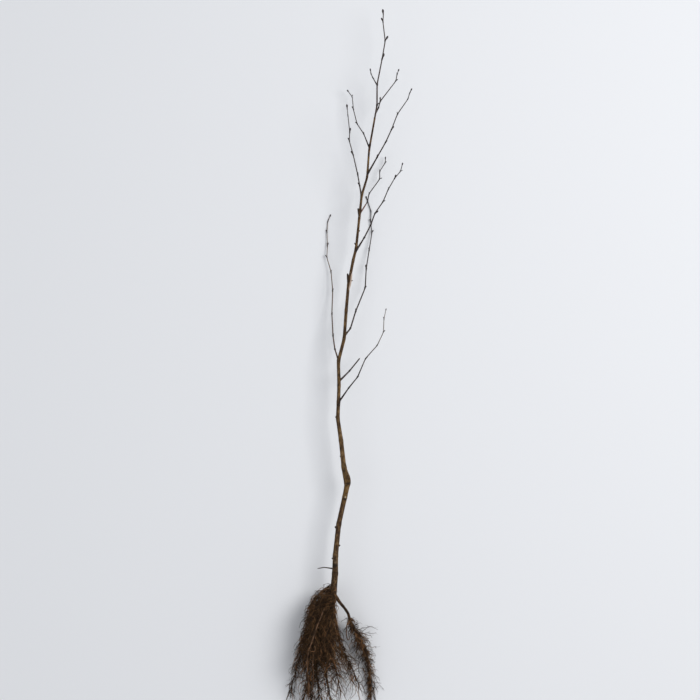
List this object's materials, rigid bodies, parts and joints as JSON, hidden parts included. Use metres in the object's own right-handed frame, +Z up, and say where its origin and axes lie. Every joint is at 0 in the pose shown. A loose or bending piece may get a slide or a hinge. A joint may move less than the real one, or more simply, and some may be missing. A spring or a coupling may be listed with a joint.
{
  "type": "bare-rooted black alder",
  "caption": "Young bare-rooted black alder lying on the ground: a crooked slender stem, thin side shoots with stalked buds, and a spreading beard of fine roots.",
  "frame": {"origin": "on the ground, at the middle of the plant's length and width as it lies", "axes": "+Y up the stem from the roots to the leader, +X to the right seen from above, +Z up from the ground"},
  "size_m": [0.2842, 1.5892, 0.1228],
  "materials": {
    "stem_bark": "smooth olive-brown young bark, matt, darker towards the roots",
    "shoot_bark": "smooth reddish-brown bark of the side shoots, slightly shiny",
    "twig_bark": "dark purplish-brown twigs and stalked buds, slightly waxy",
    "root_bark": "dark brown rough root bark, matt",
    "fine_root_bark": "very dark brown fibrous fine roots, matt"
  },
  "bodies": {
    "root": {"broken_right_bough": "shoot_bark", "collar_left_root_fibres": "fine_root_bark", "collar_upper_root_fibres": "fine_root_bark", "far_left_root": "root_bark", "far_left_root_fibres": "fine_root_bark", "leader_twigs": "twig_bark", "left_root": "root_bark", "left_root_fibres": "fine_root_bark", "long_left_bough": "shoot_bark", "long_left_twig": "twig_bark", "long_right_bough": "shoot_bark", "long_right_twig": "twig_bark", "lowest_right_bough": "shoot_bark", "lowest_right_twig": "twig_bark", "middle_left_root": "root_bark", "middle_left_root_fibres": "fine_root_bark", "middle_right_bough": "shoot_bark", "middle_right_root": "root_bark", "middle_right_root_fibres": "fine_root_bark", "middle_right_twig": "twig_bark", "middle_root": "root_bark", "middle_root_fibres": "fine_root_bark", "rear_right_bough": "shoot_bark", "rear_right_twig": "twig_bark", "right_root": "root_bark", "right_root_fibres": "fine_root_bark", "stem": "stem_bark", "stem_rootlet": "root_bark", "top_left_bough": "shoot_bark", "top_left_twig": "twig_bark", "under_root": "root_bark", "under_root_fibres": "fine_root_bark", "upper_left_bough": "shoot_bark", "upper_left_twig": "twig_bark", "upper_right_bough": "shoot_bark", "upper_right_twig": "twig_bark", "upper_root": "root_bark", "upper_root_fibres": "fine_root_bark"}
  },
  "joints": []
}
